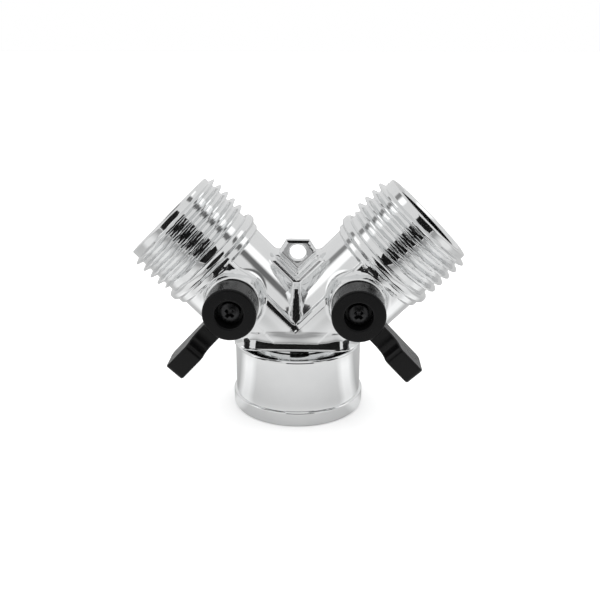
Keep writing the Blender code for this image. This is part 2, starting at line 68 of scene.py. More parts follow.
# The two arms and their outlets.
ARM_ANGLE = math.radians(44.3)
ARM_CROSSING_Z = 15.47
ARM_RADIUS = 12.1
ARM_LENGTH = 43.35
ARM_SPAN = (-1.0, 29.4)
ARM_TRIM_Z = 19.4
ARM_TRIM_BLEND = 2.0
VALLEY_BLEND = 1.6
STEM_ALONG_ARM = 19.9
THREAD_START = 1.15
THREAD_TURNS = 4.75
MALE_FADE = 0.55
COLLAR = (28.25, 30.4)
COLLAR_RADIUS = 13.5
COLLAR_ROUND = 0.85
STEP = (26.65, 28.45)
STEP_RADIUS = 12.7
STEP_ROUND = 0.4
COLLAR_BLEND = 0.5
OUTLET_JOINT = 29.0
OUTLET_JOINT_OVERLAP = 0.1
OUTLET_ROOT_START = 29.6
OUTLET_RUN_OUT = 0.2
OUTLET_ROUND = 0.3
OUTLET_FACE_GAP = 0.4
OUTLET_BORE = 9.4
# The mouth of the outlet's bore: distances out from the bore and in from the end.
OUTLET_MOUTH = ((0.75, 0.0), (0.6, 0.08), (0.0, 0.7))

# The foot of the body: a thin rim with a skirt that rises from it to the arms. FOOT_HALF is along X and Y.
FOOT_Z = 17.6
FOOT_HALF = (14.8, 12.9)
FOOT_CORNER = 6.0
FOOT_RIM_TOP = 18.1
RIM_ROUND = 0.22
RIM_BLEND = 0.12
SKIRT_BOTTOM = 17.8
SKIRT_TOP = 19.9
SKIRT_INSET = 0.85
SKIRT_LEDGE_SHARE = 0.15
SKIRT_BLEND = 1.3
FOOT_TOP = 21.0

# The flat V front between the bosses. Its low side, top and bevel are measured above the arm's axis.
PAD_FACE = 12.08
PAD_LOW = -0.4
PAD_END = 26.8
PAD_BOTTOM_Z = 18.2
PAD_TOP = 5.75
PAD_EDGE = 0.3
PAD_BEVEL_START = 4.5
PAD_BEVEL = math.radians(16)
PAD_BLEND = 0.35

# The narrow fin in the valley. Its foot is a depth and a height, and its half widths are at the foot and top.
FIN_FOOT = (-12.0, 22.5)
FIN_SLOPE = math.radians(17)
FIN_TOP = 31.8
FIN_HALF_WIDTHS = (1.3, 0.6)
FIN_ROUND = 0.15
FIN_BLEND = 0.3

# The hanging tab, as the corners of its right half, and the ribs beside it. Each rib has a half depth, a top
# above the arm's axis, and a top height.
TAB_HALF_THICKNESS = 1.0
TAB_OUTLINE = ((0.0, 30.8), (4.55, 36.97), (4.55, 37.97), (2.685, 40.95))
TAB_EDGE = 0.15
TAB_BEVEL = math.radians(20)
TAB_BEVEL_WIDTH = 0.75
TAB_BLEND = 0.3
TAB_HOLE_Z = 37.86
TAB_HOLE_RADIUS = 1.95
RIBS = ((2.9, 12.8, 38.0), (5.3, 11.95, 37.35))
RIB_ROOT = 8.0
RIB_END = 28.0
RIB_ROUND = 0.45
RIB_TOP_ROUND = 0.25

# The spigot that the nut turns on, and the inlet's bore.
SPIGOT_RADIUS = 10.9
SPIGOT_END_Z = 9.2
SPIGOT_ROOT = 2.0
SPIGOT_EDGE = 0.3
RING_GROOVE = (12.9, 14.5)
RING_GROOVE_RADIUS = 9.8
INLET_BORE = 8.0
INLET_BORE_TOP = 17.8
BORE_EDGE = 0.25

# The stem bosses and the valves' chambers.
BOSS_BASE_RADIUS = 6.95
BOSS_FACE_RADIUS = 6.3
BOSS_FACE = 14.98
BOSS_MIDDLE = 8.5
BOSS_TAPER_START = 9.0
BOSS_ROUND = 0.4
BOSS_BLEND = 1.0
STEM_BORE = 3.2
STEM_BORE_ROOT = 3.0
STEM_COLLAR_TOP = 9.1
STEM_COLLAR_BORE = 3.9
OVERLAP = 2.0
PORT_BORE = 4.2
CHAMBER_RADIUS = 7.6
CHAMBER_START = 12.5
CHAMBER_END = 30.9

# The swivel nut. The lead-in of its thread is a width and a height.
NUT_RADIUS = 15.27
NUT_TOP = 16.1
NUT_SHOULDER = 0.6
NUT_THREAD = (0.9, 8.7)
NUT_THREAD_FADE = 0.5
NUT_LEAD = (0.5, 0.6)
NUT_CAVITY = (9.0, 14.8)
NUT_CAVITY_RADIUS = 12.95
NUT_NECK_BORE = 11.25
NUT_NECK_CHAMFER = 0.15
LIP_RADIUS = 15.89
LIP_TOP = 3.5
LIP_TOP_ROUND = 0.45
LIP_BOTTOM_ROUND = 0.3
LIP_MIDDLE = 2.0
# The fillet between the nut's wall and its lip: distances outwards and upwards.
LIP_FILLET = ((0.0, 0.12), (0.04, 0.02), (0.15, 0.0))
LIP_FILLET_START = 0.2

# The levers: X from the stem to the tip, Z forwards.
CAP_RADIUS = 5.9
CAP_BACK = 15.28
CAP_FACE = 21.83
CAP_EDGE = 0.45
CAP_RECESS = 2.9
CAP_FLOOR = 18.8
RECESS_DRAFT = 0.08
RECESS_EDGE = 0.3
NECK_FRONT = 20.2
NECK_SPAN = (2.5, 11.5)
NECK_ROUND = 0.3
PADDLE_START = 10.6
PADDLE_TIP = 18.26
PADDLE_FRONT = 23.34
PADDLE_HALF_WIDTH = 2.25
PADDLE_ROUND = 1.2
PADDLE_SIDE_ROUND = 0.4
NECK_BLEND = 3.2
CAP_BLEND = 0.6
SOCKET_HALF = 2.25
SOCKET_END = 17.7
SCREW_HOLE = 1.5
LEVER_PAST_SQUARE = math.radians(2.65)

# The lever screws. The cross wings widen towards the head's face.
HEAD_LOW = CAP_FLOOR + 0.3
HEAD_HEIGHT = 1.65
HEAD_RADIUS = 2.25
HEAD_ROUND = 0.7
DOME_RADIUS = 5.1
DOME_MIDDLE_BELOW = 3.4
SHANK_RADIUS = 1.2
SHANK_END = 13.6
SHANK_ROUND = 0.2
SHANK_OVERLAP = 0.4
CROSS_FLOOR = 0.45
CROSS_HALF_LENGTH = 0.55
CROSS_LENGTH_DRAFT = 0.55
CROSS_HALF_WIDTH = 0.24
CROSS_WIDTH_DRAFT = 0.1
CROSS_EDGE = 0.12

# The balls and what holds them. The slot has a half length and a half width, and radii are inner and outer.
BALL_RADIUS = 6.8
BALL_BORE = 3.9
BALL_BORE_EDGE = 0.3
BALL_SLOT_HALF = (2.8, 1.3)
BALL_SLOT_FLOOR = 5.3
BALL_SLOT_EDGE = 0.15
RETAINER = (7.4, 10.6)
RETAINER_RADII = (4.9, 7.3)
RETAINER_EDGE = 0.25
KEY_SLOT_HALF = 0.8
KEY_SLOT_FLOOR = 9.6
KEY_SLOT_EDGE = 0.2
SEAT_PROFILE = ((4.2, 5.7), (4.2, 7.0), (4.3, 7.1), (7.2, 7.1), (7.3, 7.0), (7.3, 2.7))
WASHER_RADII = (8.1, 12.1)
WASHER = (6.0, 8.9)
WASHER_ROUND = 0.35
O_RINGS = {"inner": 10.3, "outer": 12.6}
O_RING_RADIUS = 2.62
O_RING_SECTION = 0.42
O_RING_SHARP = 80.0

# The corners of the boxes that the level surfaces are sampled in.
BODY_BOX = ((-32.5, -16.3, 8.0), (32.5, 14.5, 47.0))
LEVER_BOX = ((-7.0, -7.0, 14.9), (19.3, 7.0, 25.0))
SCREW_BOX = ((-2.6, -2.6, 13.2), (2.6, 2.6, 20.9))
BALL_BOX = ((-7.2, -7.2, -7.2), (7.2, 7.2, 7.2))
RETAINER_BOX = ((-7.7, -7.7, 7.0), (7.7, 7.7, 11.0))

# Grid steps of the level surfaces.
COARSER = 1.0
BODY_STEP = 0.34 * COARSER
LEVER_STEP = 0.22 * COARSER
SCREW_STEP = 0.1 * COARSER
BALL_STEP = 0.3
RETAINER_STEP = 0.25
TURNED_SEGMENTS = 224
SEAT_SEGMENTS = 96
O_RING_SEGMENTS = 48
THREAD_ROWS_PER_TURN = 22

# How level surfaces are found: reaches of the slope's samples, and how often points are moved to the surface.
SLOPE_REACH = 0.004
NORMAL_REACH = 0.03
SETTLING_MOVES = 5
NEAR_BLOCK = 1.2

# The camera, about the nut's axis.
CAMERA_AZIMUTH = math.radians(2.277)
CAMERA_ELEVATION = math.radians(19.48)
CAMERA_DISTANCE = 185.0
CAMERA_TARGET = (0.489, 0.0, 25.73)
CAMERA_LENS = 45.9
CAMERA_CLIP = (0.01, 20.0)
SENSOR_WIDTH = 36.0

# The studio in reflections, seen from the object. Each seam or panel has an azimuth from the front towards
# +X, a half width, a low and a high elevation, all in degrees, and a brightness.
TENT = 0.78
SEAMS = ((70.0, 9.0, 22.0, 56.0, 0.16), (-101.0, 8.0, 24.0, 54.0, 0.26))
PANELS = ((95.0, 12.0, 20.0, 48.0, 1.25), (-78.0, 11.0, 18.0, 44.0, 1.25))
OUTSIDE = 1.6

# The dark opening that the object is looked at through, in metres.
OPENING_X = (-0.065, 0.115)
OPENING_Z = (0.004, 0.15)
OPENING_Y = -0.2
OPENING = 0.008

# The floor: its tone for the camera, and in reflections in front, at the sides and behind. In reflections
# the tone is painted: painted shade in front, painted light at the sides and a painted shadow of the object
# behind. Fades are distances in metres, and the side's starts and ends are angles from the front in radians.
FLOOR_REACH = 3
FLOOR_DROP = 0.0001
FLOOR_SEEN = 0.98
# Painted shade on the floor in front, as seen in reflections; it deepens further out.
FLOOR_PAINTED_SHADE_NEAR = 0.57
FLOOR_PAINTED_SHADE_FAR = 0.24
FLOOR_FADE = (0.06, 0.13)
# Painted light on the floor at the sides, as seen in reflections; it fades further out.
FLOOR_PAINTED_LIGHT_NEAR = 0.82
FLOOR_PAINTED_LIGHT_FAR = 0.36
FLOOR_SIDE_FADE = (0.04, 0.075)
FLOOR_SIDE_STARTS = (1.2, 1.4)
FLOOR_SIDE_ENDS = (1.65, 1.95)
# Painted shadow of the object on the floor behind it, as seen in reflections.
FLOOR_PAINTED_SHADOW_BEHIND = 0.38


# ---------------------------------------------------------------- distance functions


def smooth_union(a, b, blend):
    gap = np.maximum(blend - np.abs(a - b), 0.0) / blend
    return np.minimum(a, b) - gap * gap * blend / 4


def smooth_cut(a, b, blend):
    """Keeps a where it is outside b."""
    return -smooth_union(-a, b, blend)


def rounded_pair(a, b, rounding):
    """The intersection of two half spaces, with its outer edge rounded."""
    a = a + rounding
    b = b + rounding
    return np.minimum(np.maximum(a, b), 0.0) + np.hypot(np.maximum(a, 0.0), np.maximum(b, 0.0)) - rounding


def disc(rho, along, low, high, radius, rounding=0.0):
    return rounded_pair(rho - radius, np.abs(along - (low + high) / 2) - (high - low) / 2, rounding)


def convex_outline(x, z, points):
    """Distance to a convex outline that is given for its right half, from the bottom up."""
    x = np.abs(x)
    result = z - points[-1][1]
    for (x0, z0), (x1, z1) in zip(points, points[1:]):
        length = math.hypot(x1 - x0, z1 - z0)
        result = np.maximum(result, ((x - x0) * (z1 - z0) - (z - z0) * (x1 - x0)) / length)
    return result


def arm_coordinates(p, side):
    """Distance along an arm's axis, distance above it, and depth."""
    x = p[:, 0] * side
    z = p[:, 2] - ARM_CROSSING_Z
    sine, cosine = math.sin(ARM_ANGLE), math.cos(ARM_ANGLE)
    return x * sine + z * cosine, z * sine - x * cosine, p[:, 1]


def body_distance(p):
    """The cast body without its outer threads, which are turned. It is the same on both sides."""
    p = np.column_stack((np.abs(p[:, 0]), p[:, 1], p[:, 2]))
    x, y, z = p.T
    along, above, depth = arm_coordinates(p, 1)
    rho = np.hypot(above, depth)
    other_along, other_above, _ = arm_coordinates(p, -1)
    tube = disc(rho, along, *ARM_SPAN, ARM_RADIUS)
    other_tube = disc(np.hypot(other_above, depth), other_along, *ARM_SPAN, ARM_RADIUS)
    shape = smooth_union(tube, other_tube, VALLEY_BLEND)

    pad = np.maximum(np.maximum(PAD_LOW - above, along - PAD_END), depth)
    pad = np.maximum(pad, PAD_BOTTOM_Z - z)
    face = -depth - PAD_FACE
    bevel = face * math.cos(PAD_BEVEL) + (above - PAD_BEVEL_START) * math.sin(PAD_BEVEL)
    pad = np.maximum(pad, rounded_pair(np.maximum(face, bevel), above - PAD_TOP, PAD_EDGE))
    shape = smooth_union(shape, pad, PAD_BLEND)

    shape = smooth_cut(shape, z - ARM_TRIM_Z, ARM_TRIM_BLEND)
    outline = rounded_box_outline(x, y, FOOT_HALF, FOOT_CORNER)
    rise = np.maximum((z - FOOT_RIM_TOP) / (SKIRT_TOP - FOOT_RIM_TOP), 0.0)
    inset = SKIRT_INSET * (SKIRT_LEDGE_SHARE + (1 - SKIRT_LEDGE_SHARE) * rise)
    skirt = np.maximum(outline + inset, z - FOOT_TOP)
    skirt = np.maximum(skirt, SKIRT_BOTTOM - z)
    shape = smooth_union(shape, skirt, SKIRT_BLEND)
    rim_middle = (FOOT_Z + FOOT_RIM_TOP) / 2
    rim = rounded_pair(outline, np.abs(z - rim_middle) - (FOOT_RIM_TOP - rim_middle), RIM_ROUND)
    shape = smooth_union(shape, rim, RIM_BLEND)

    stem_along = along - STEM_ALONG_ARM
    from_stem = np.hypot(stem_along, above)
    height = -depth
    share = np.clip((height - BOSS_TAPER_START) / (BOSS_FACE - BOSS_TAPER_START), 0.0, 1.0)
    boss_radius = BOSS_BASE_RADIUS + (BOSS_FACE_RADIUS - BOSS_BASE_RADIUS) * share
    boss_end = np.abs(height - BOSS_MIDDLE) - (BOSS_FACE - BOSS_MIDDLE)
    boss = rounded_pair(from_stem - boss_radius, boss_end, BOSS_ROUND)
    shape = smooth_union(shape, boss, BOSS_BLEND)

    step = disc(rho, along, *STEP, STEP_RADIUS, STEP_ROUND)
    collar = disc(rho, along, *COLLAR, COLLAR_RADIUS, COLLAR_ROUND)
    shape = smooth_union(shape, smooth_union(step, collar, STEP_ROUND), COLLAR_BLEND)

    for half_depth, top_above, top_z in RIBS:
        rib = rounded_pair(np.abs(depth) - half_depth, above - top_above, RIB_ROUND)
        rib = np.maximum(np.maximum(rib, RIB_ROOT - above), along - RIB_END)
        rib = rounded_pair(rib, z - top_z, RIB_TOP_ROUND)
        shape = smooth_union(shape, rib, RIB_ROUND)
    tab = convex_outline(x, z, TAB_OUTLINE)
    tab_face = np.abs(depth) - TAB_HALF_THICKNESS
    bevel = tab_face * math.cos(TAB_BEVEL) + (tab + TAB_BEVEL_WIDTH) * math.sin(TAB_BEVEL)
    tab = np.maximum(rounded_pair(tab, tab_face, TAB_EDGE), bevel)
    hole = np.hypot(x, z - TAB_HOLE_Z) - TAB_HOLE_RADIUS
    tab = smooth_cut(tab, hole, TAB_BLEND)
    shape = smooth_union(shape, tab, TAB_BLEND)

    fin_y, fin_z = FIN_FOOT
    front = (fin_y - depth) * math.cos(FIN_SLOPE) + (z - fin_z) * math.sin(FIN_SLOPE)
    share = np.clip((z - fin_z) / (FIN_TOP - fin_z), 0.0, 1.0)
    fin_half = FIN_HALF_WIDTHS[0] + (FIN_HALF_WIDTHS[1] - FIN_HALF_WIDTHS[0]) * share
    fin = rounded_pair(x - fin_half, front, FIN_ROUND)
    fin = np.maximum(fin, np.maximum(z - FIN_TOP, depth))
    fin = np.maximum(fin, fin_z - z)
    shape = smooth_union(shape, fin, FIN_BLEND)

    from_axis = np.hypot(x, y)
    spigot = disc(from_axis, z, SPIGOT_END_Z, FOOT_Z + SPIGOT_ROOT, SPIGOT_RADIUS, SPIGOT_EDGE)
    groove_low, groove_high = RING_GROOVE
    groove_end = np.abs(z - (groove_low + groove_high) / 2) - (groove_high - groove_low) / 2
    groove = np.maximum(RING_GROOVE_RADIUS - from_axis, groove_end)
    spigot = np.maximum(spigot, -groove)
    shape = np.minimum(shape, spigot)

    bores = from_axis - INLET_BORE
    bores = np.maximum(bores, z - INLET_BORE_TOP)
    bores = np.minimum(bores, disc(rho, along, ARM_SPAN[0], STEM_ALONG_ARM, PORT_BORE))
    bores = np.minimum(bores, disc(rho, along, CHAMBER_START, CHAMBER_END, CHAMBER_RADIUS))
    stem_bore = disc(from_stem, height, STEM_BORE_ROOT, BOSS_FACE + OVERLAP, STEM_BORE)
    collar_bore = disc(from_stem, height, STEM_BORE_ROOT, STEM_COLLAR_TOP, STEM_COLLAR_BORE)
    bores = np.minimum(bores, np.minimum(stem_bore, collar_bore))
    return smooth_cut(shape, bores, BORE_EDGE)


def rounded_box_outline(x, y, half, corner):
    dx = np.abs(x) - (half[0] - corner)
    dy = np.abs(y) - (half[1] - corner)
    inside = np.minimum(np.maximum(dx, dy), 0.0)
    return inside + np.hypot(np.maximum(dx, 0.0), np.maximum(dy, 0.0)) - corner


def rounded_rectangle(x, z, span_x, span_z, rounding):
    (x0, x1), (z0, z1) = span_x, span_z
    return rounded_pair(
        np.abs(x - (x0 + x1) / 2) - (x1 - x0) / 2,
        np.abs(z - (z0 + z1) / 2) - (z1 - z0) / 2,
        rounding,
    )


def lever_distance(p):
    """X runs to the paddle's tip and Z forwards, both from the stem."""
    x, y, z = p.T
    cap = disc(np.hypot(x, y), z, CAP_BACK, CAP_FACE, CAP_RADIUS, CAP_EDGE)
    neck = rounded_rectangle(x, z, NECK_SPAN, (CAP_BACK, NECK_FRONT), NECK_ROUND)
    paddle = rounded_rectangle(x, z, (PADDLE_START, PADDLE_TIP), (CAP_BACK, PADDLE_FRONT), PADDLE_ROUND)
    side_view = smooth_union(neck, paddle, NECK_BLEND)
    side_view = np.maximum(side_view, CAP_BACK - z)
    handle = rounded_pair(side_view, np.abs(y) - PADDLE_HALF_WIDTH, PADDLE_SIDE_ROUND)
    shape = smooth_union(cap, handle, CAP_BLEND)
    recess_radius = CAP_RECESS + RECESS_DRAFT * (z - CAP_FLOOR)
    recess = np.maximum(np.hypot(x, y) - recess_radius, CAP_FLOOR - z)
    shape = smooth_cut(shape, recess, RECESS_EDGE)
    socket = np.maximum(np.maximum(np.abs(x), np.abs(y)) - SOCKET_HALF, z - SOCKET_END)
    shape = np.maximum(shape, -socket)
    screw_hole = np.hypot(x, y) - SCREW_HOLE
    return np.maximum(shape, -screw_hole)


def screw_distance(p):
    """A pan head with a cross recess. Z runs forwards from the stem's axis."""
    x, y, z = p.T
    rho = np.hypot(x, y)
    head = disc(rho, z, HEAD_LOW, HEAD_LOW + HEAD_HEIGHT, HEAD_RADIUS, HEAD_ROUND)
    dome = np.sqrt(rho * rho + (z - HEAD_LOW + DOME_MIDDLE_BELOW) ** 2) - DOME_RADIUS
    head = np.maximum(head, dome)
    shank = disc(rho, z, SHANK_END, HEAD_LOW + SHANK_OVERLAP, SHANK_RADIUS, SHANK_ROUND)
    shape = np.minimum(head, shank)
    depth = z - (HEAD_LOW + CROSS_FLOOR)
    for _ in range(2):
        length = np.abs(x) - CROSS_HALF_LENGTH - CROSS_LENGTH_DRAFT * depth
        width = np.abs(y) - CROSS_HALF_WIDTH - CROSS_WIDTH_DRAFT * depth
        wing = np.maximum(np.maximum(length, width), -depth)
        shape = smooth_cut(shape, wing, CROSS_EDGE)
        x, y = y, -x
    return shape


def ball_distance(p):
    """Z is the bore and X the stem's side."""
    x, y, z = p.T
    half_length, half_width = BALL_SLOT_HALF
    shape = np.sqrt(x * x + y * y + z * z) - BALL_RADIUS
    shape = smooth_cut(shape, np.hypot(x, y) - BALL_BORE, BALL_BORE_EDGE)
    slot = np.maximum(np.abs(z) - half_length, np.abs(y) - half_width)
    slot = np.maximum(slot, BALL_SLOT_FLOOR - x)
    return smooth_cut(shape, slot, BALL_SLOT_EDGE)


def retainer_distance(p):
    """The ring behind the outlet seat, with two slots for its key. Z runs to the outlet."""
    x, y, z = p.T
    rho = np.hypot(x, y)
    inner, outer = RETAINER_RADII
    shape = np.maximum(disc(rho, z, *RETAINER, outer, RETAINER_EDGE), inner - rho)
    slot = np.maximum(np.abs(y) - KEY_SLOT_HALF, KEY_SLOT_FLOOR - z)
    return smooth_cut(shape, slot, KEY_SLOT_EDGE)


# ---------------------------------------------------------------- meshes


def gradient(distance, p, reach=SLOPE_REACH):
    result = np.empty_like(p)
    for axis in range(3):
        offset = np.zeros(3)
        offset[axis] = reach
        result[:, axis] = distance(p + offset) - distance(p - offset)
    length = np.linalg.norm(result, axis=1, keepdims=True)
    return result / np.maximum(length, 1e-9)


def sampled(distance, low, high, step, block=8):
    """Distances on a grid. Blocks that are far from the surface keep the value at their middle."""
    low = np.array(low, float)
    blocks = np.ceil((np.array(high, float) - low) / (step * block)).astype(int)
    middles = [low[a] + (np.arange(blocks[a]) + 0.5) * block * step for a in range(3)]
    grid = np.stack(np.meshgrid(*middles, indexing="ij"), axis=-1).reshape(-1, 3)
    coarse = distance(grid).reshape(blocks)
    near = np.abs(coarse) < step * block * NEAR_BLOCK
    values = coarse
    for axis in range(3):
        values = values.repeat(block, axis)
        near = near.repeat(block, axis)
    index = np.argwhere(near)
    values[near] = distance(low + index * step)
    return low, values


def level_surface(distance, low, high, step):
    """Corner points and four-cornered faces of the surface where the distance is zero."""
    low, values = sampled(distance, low, high, step)
    inside = values < 0
    cells = tuple(n - 1 for n in values.shape)
    total = np.zeros((*cells, 3))
    count = np.zeros(cells, int)
    crossings = []
    for axis in range(3):
        ahead = [slice(None)] * 3
        behind = [slice(None)] * 3
        ahead[axis] = slice(1, None)
        behind[axis] = slice(None, -1)
        crossed = np.argwhere(inside[tuple(behind)] != inside[tuple(ahead)])
        across = [a for a in range(3) if a != axis]
        room = np.ones(len(crossed), bool)
        for a in across:
            room &= (crossed[:, a] > 0) & (crossed[:, a] < values.shape[a] - 1)
        crossed = crossed[room]
        following = crossed.copy()
        following[:, axis] += 1
        first = values[tuple(crossed.T)]
        second = values[tuple(following.T)]
        point = crossed.astype(float)
        point[:, axis] += first / (first - second)
        corners = []
        for u, v in ((0, 0), (1, 0), (1, 1), (0, 1)):
            cell = crossed.copy()
            cell[:, across[0]] -= u
            cell[:, across[1]] -= v
            np.add.at(total, tuple(cell.T), point)
            np.add.at(count, tuple(cell.T), 1)
            corners.append(cell)
        crossings.append((axis, inside[tuple(crossed.T)], corners))
    used = count > 0
    number = np.full(cells, -1)
    number[used] = np.arange(used.sum())
    points = low + total[used] / count[used][:, None] * step
    faces = []
    for axis, leaving, corners in crossings:
        quads = np.stack([number[tuple(cell.T)] for cell in corners], axis=1)
        turned = leaving if axis != 1 else ~leaving
        quads[turned] = quads[turned][:, ::-1]
        faces.append(quads)
    faces = np.concatenate(faces)[:, ::-1]
    for _ in range(SETTLING_MOVES):
        away = distance(points)[:, None]
        points = points - np.clip(away, -step, step) * gradient(distance, points)
    return points, faces


def mesh_from(name, points, faces, matrix, normals=None):
    """Builds an object from arrays, in metres and in the row frame."""
    rotation = np.array(matrix.to_3x3())
    points = (points @ rotation.T + np.array(matrix.translation)) * MM
    points[:, 1] += AXIS_Y
    mesh = bpy.data.meshes.new(name)
    mesh.vertices.add(len(points))
    mesh.vertices.foreach_set("co", points.astype(np.float32).ravel())
    mesh.loops.add(faces.size)
    mesh.loops.foreach_set("vertex_index", faces.astype(np.int32).ravel())
    mesh.polygons.add(len(faces))
    mesh.polygons.foreach_set("loop_start", np.arange(0, faces.size, 4, dtype=np.int32))
    mesh.update(calc_edges=True)
    mesh.validate()
    mesh.shade_smooth()
    if normals is not None:
        mesh.normals_split_custom_set_from_vertices(normals @ rotation.T)
    obj = bpy.data.objects.new(name, mesh)
    bpy.context.scene.collection.objects.link(obj)
    return obj


def surface_object(name, distance, box, step, matrix=Matrix.Identity(4)):
    low, high = box
    points, faces = level_surface(distance, low, high, step)
    return mesh_from(name, points, faces, matrix, gradient(distance, points, NORMAL_REACH))


def arc(middle, radius, start, end, steps=6):
    """Points of a profile on an arc, in degrees from the outward direction."""
    angles = [math.radians(start + (end - start) * k / steps) for k in range(steps + 1)]
    return [(middle[0] + radius * math.cos(a), middle[1] + radius * math.sin(a)) for a in angles]


def straight(start, end, steps):
    """Points of a profile between two others, without the two."""
    shares = [k / steps for k in range(1, steps)]
    return [(start[0] + (end[0] - start[0]) * t, start[1] + (end[1] - start[1]) * t) for t in shares]


def revolved(name, profile, matrix=Matrix.Identity(4), segments=TURNED_SEGMENTS, sharp=35.0):
    """A closed loop of (radius, height) points turned about Z. A radius may be a function of the angles."""
    angles = np.arange(segments) * 2 * math.pi / segments
    rings = []
    for radius, height in profile:
        radii = radius(angles) if callable(radius) else np.full(segments, float(radius))
        heights = np.full(segments, height)
        rings.append(np.column_stack((radii * np.cos(angles), radii * np.sin(angles), heights)))
    points = np.concatenate(rings)
    here = np.arange(segments)
    following = np.roll(here, -1)
    faces = []
    for k in range(len(rings)):
        lower = k * segments
        upper = ((k + 1) % len(rings)) * segments
        faces.append(np.column_stack((lower + here, lower + following, upper + following, upper + here)))
    obj = mesh_from(name, points, np.concatenate(faces), matrix)
    obj.data.set_sharp_from_angle(angle=math.radians(sharp))
    return obj


def thread_rows(start, turns, root, crest, run_out):
    """Rows of a right-hand thread with flat roots and softened crests, which fades out at both ends."""
    length = turns * THREAD_PITCH
    count = round(turns * THREAD_ROWS_PER_TURN)
    rows = []
    for k in range(count + 1):
        along = length * k / count
        fade = min(1.0, along / run_out, (length - along) / run_out)

        def radii(angles, along=along, fade=fade):
            phase = (along / THREAD_PITCH - angles / (2 * math.pi)) % 1.0
            flank = np.clip((0.5 - np.abs(phase - 0.5) - HALF_ROOT_FLAT) / FLANK_SHARE, 0.0, 1.0)
            lift = flank * flank * (3 - 2 * flank)
            rise = FLANK_STRAIGHTNESS * flank + (1 - FLANK_STRAIGHTNESS) * lift
            return root + (crest - root) * rise * fade

        rows.append((radii, start + along))
    return rows


def to_front():
    return Matrix.Rotation(math.radians(90), 4, "X")


def arm_matrix(side):
    return Matrix.Translation((0, 0, ARM_CROSSING_Z)) @ Matrix.Rotation(side * ARM_ANGLE, 4, "Y")


def valve_matrix(side):
    return arm_matrix(side) @ Matrix.Translation((0, 0, STEM_ALONG_ARM))


def lever_matrix(side):
    turned = Matrix.Rotation(side * LEVER_PAST_SQUARE, 4, "Y")
    if side < 0:
        turned = turned @ Matrix.Rotation(math.pi, 4, "Y")
    return valve_matrix(side) @ turned @ to_front()


# ---------------------------------------------------------------- materials


class Nodes:
    """A few short calls for building one material's node tree."""

    def __init__(self, name):
        self.material = bpy.data.materials.new(name)
        self.material.use_nodes = True
        self.tree = self.material.node_tree
        self.shader = self.tree.nodes["Principled BSDF"]
        self.place = self.add("ShaderNodeTexCoord").outputs["Object"]

    def add(self, kind, **values):
        node = self.tree.nodes.new(kind)
        for key, value in values.items():
            setattr(node, key, value)
        return node

    def link(self, source, target):
        self.tree.links.new(source, target)

    def noise(self, scale, detail=2.0, roughness=0.5, distortion=0.0, stretch=None):
        node = self.add("ShaderNodeTexNoise")
        node.inputs["Scale"].default_value = scale
        node.inputs["Detail"].default_value = detail
        node.inputs["Roughness"].default_value = roughness
        node.inputs["Distortion"].default_value = distortion
        source = self.place
        if stretch is not None:
            mapping = self.add("ShaderNodeMapping")
            mapping.inputs["Scale"].default_value = stretch
            self.link(source, mapping.inputs["Vector"])
            source = mapping.outputs["Vector"]
        self.link(source, node.inputs["Vector"])
        return node.outputs["Fac"]

    def spread(self, source, low, high, start=0.3, end=0.7):
        node = self.add("ShaderNodeMapRange")
        node.inputs["From Min"].default_value = start
        node.inputs["From Max"].default_value = end
        node.inputs["To Min"].default_value = low
        node.inputs["To Max"].default_value = high
        self.link(source, node.inputs["Value"])
        return node.outputs["Result"]

    def mix(self, factor, low, high):
        node = self.add("ShaderNodeMix", data_type="RGBA")
        node.inputs["A"].default_value = (*low, 1.0)
        node.inputs["B"].default_value = (*high, 1.0)
        self.link(factor, node.inputs["Factor"])
        return node.outputs["Result"]

    def bump(self, height, distance, strength=1.0, before=None):
        node = self.add("ShaderNodeBump")
        node.inputs["Distance"].default_value = distance
        node.inputs["Strength"].default_value = strength
        self.link(height, node.inputs["Height"])
        if before is not None:
            self.link(before, node.inputs["Normal"])
        return node.outputs["Normal"]

    def math(self, operation, first, second=None):
        node = self.add("ShaderNodeMath", operation=operation)
        for socket, value in zip(node.inputs, (first, second)):
            if isinstance(value, bpy.types.NodeSocket):
                self.link(value, socket)
            elif value is not None:
                socket.default_value = value
        return node.outputs["Value"]

    def blend(self, factor, low, high):
        """Goes from one value to another as the factor goes from nothing to one."""
        change = self.math("MULTIPLY", self.math("SUBTRACT", high, low), factor)
        return self.math("ADD", low, change)

    def set(self, **values):
        for key, value in values.items():
            socket = self.shader.inputs[key.replace("_", " ")]
            if isinstance(value, bpy.types.NodeSocket):
                self.link(value, socket)
            elif isinstance(value, tuple):
                socket.default_value = (*value, 1.0)
            else:
                socket.default_value = value
        return self.material


def chrome_material():
    """Bright plate over a casting: faint waviness, a trace of haze and a few fine rubs."""
    nodes = Nodes("chrome_plate")
    haze = nodes.noise(320.0, detail=3.0)
    rubs = nodes.noise(900.0, detail=2.0, stretch=(1.0, 0.08, 1.0))
    waves = nodes.noise(260.0, detail=1.0)
    skin = nodes.noise(1500.0, detail=2.0)
    normal = nodes.bump(waves, 0.000012)
    normal = nodes.bump(skin, 0.0000012, before=normal)
    normal = nodes.bump(rubs, 0.0000006, before=normal)
    return nodes.set(
        Metallic=1.0,
        Base_Color=nodes.mix(haze, (0.80, 0.81, 0.815), (0.86, 0.865, 0.865)),
        Roughness=nodes.spread(haze, 0.035, 0.085),
        Normal=normal,
    )


def plastic_material():
    """Moulded black plastic: a fine spark-eroded grain, slightly rubbed."""
    nodes = Nodes("moulded_black")
    patch = nodes.noise(240.0, detail=3.0)
    grain = nodes.noise(5200.0, detail=1.0)
    normal = nodes.bump(grain, 0.000008, strength=0.6)
    normal = nodes.bump(nodes.noise(420.0, detail=1.0), 0.00001, before=normal)
    return nodes.set(
        Base_Color=nodes.mix(patch, (0.0018, 0.0018, 0.0019), (0.0034, 0.0034, 0.0036)),
        Roughness=nodes.spread(patch, 0.2, 0.3),
        Specular_IOR_Level=0.19,
        Normal=normal,
    )


